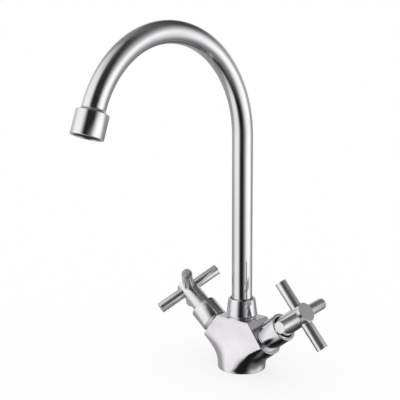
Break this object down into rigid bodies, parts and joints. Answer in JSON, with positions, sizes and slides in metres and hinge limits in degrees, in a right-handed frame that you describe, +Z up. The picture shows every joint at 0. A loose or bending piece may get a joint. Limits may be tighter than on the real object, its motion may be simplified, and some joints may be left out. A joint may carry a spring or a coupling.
{
  "type": "two handle kitchen faucet",
  "caption": "Deck-mounted kitchen mixer tap with a tall swivelling gooseneck spout and a cross handle leaning out on each side of a cast body.",
  "frame": {"origin": "centre of the base on the deck", "axes": "+Z up along the spout's swivel axis, -Y the way the spout points at rest, +X towards the cold valve"},
  "size_m": [0.2102, 0.2652, 0.3686],
  "materials": {
    "body_chrome": "polished chrome plate on cast brass",
    "bright_chrome": "polished chrome plate",
    "handle_chrome": "satin chrome, brushed along the bars",
    "raw_brass": "machined, unplated",
    "steel": "stainless, plain",
    "rubber": "black EPDM, matt",
    "plastic": "acetal, matt",
    "ceramic": "lapped alumina"
  },
  "bodies": {
    "mixer": {"mixer_body": "body_chrome", "base_seal": "rubber", "spout_collar": "bright_chrome", "spout_lower_slide_ring": "plastic", "spout_upper_slide_ring": "plastic", "left_carrier_ring": "bright_chrome", "left_sleeve": "bright_chrome", "left_bonnet": "raw_brass", "left_bonnet_seal": "rubber", "left_seat_seal": "rubber", "left_fixed_disc": "ceramic", "right_carrier_ring": "bright_chrome", "right_sleeve": "bright_chrome", "right_bonnet": "raw_brass", "right_bonnet_seal": "rubber", "right_seat_seal": "rubber", "right_fixed_disc": "ceramic"},
    "spout": {"spout_ferrule": "raw_brass", "spout_seals": "rubber", "spout_tube": "bright_chrome", "aerator_adaptor": "bright_chrome", "aerator_housing": "bright_chrome", "aerator_washer": "rubber", "aerator_screen": "steel", "aerator_insert": "plastic"},
    "left_handle": {"left_moving_disc": "ceramic", "left_stem": "raw_brass", "left_stem_seal": "rubber", "left_stem_clip": "steel", "left_hub": "handle_chrome", "left_set_screw": "steel", "left_arm_1": "handle_chrome", "left_arm_2": "handle_chrome", "left_arm_3": "handle_chrome", "left_arm_4": "handle_chrome"},
    "right_handle": {"right_moving_disc": "ceramic", "right_stem": "raw_brass", "right_stem_seal": "rubber", "right_stem_clip": "steel", "right_hub": "handle_chrome", "right_set_screw": "steel", "right_arm_1": "handle_chrome", "right_arm_2": "handle_chrome", "right_arm_3": "handle_chrome", "right_arm_4": "handle_chrome"}
  },
  "joints": [
    {"name": "spout_swivel", "type": "hinge", "parent": "mixer", "child": "spout", "pos_m": [0, 0, 0], "axis": [0, 0, 1], "continuous": true},
    {"name": "left_valve_turn", "type": "hinge", "parent": "mixer", "child": "left_handle", "pos_m": [0, 0, 0.0135], "axis": [-0.7934, 0, 0.6088], "range_deg": [0, 90]},
    {"name": "right_valve_turn", "type": "hinge", "parent": "mixer", "child": "right_handle", "pos_m": [0, 0, 0.0135], "axis": [0.7934, 0, 0.6088], "range_deg": [0, 90]}
  ]
}
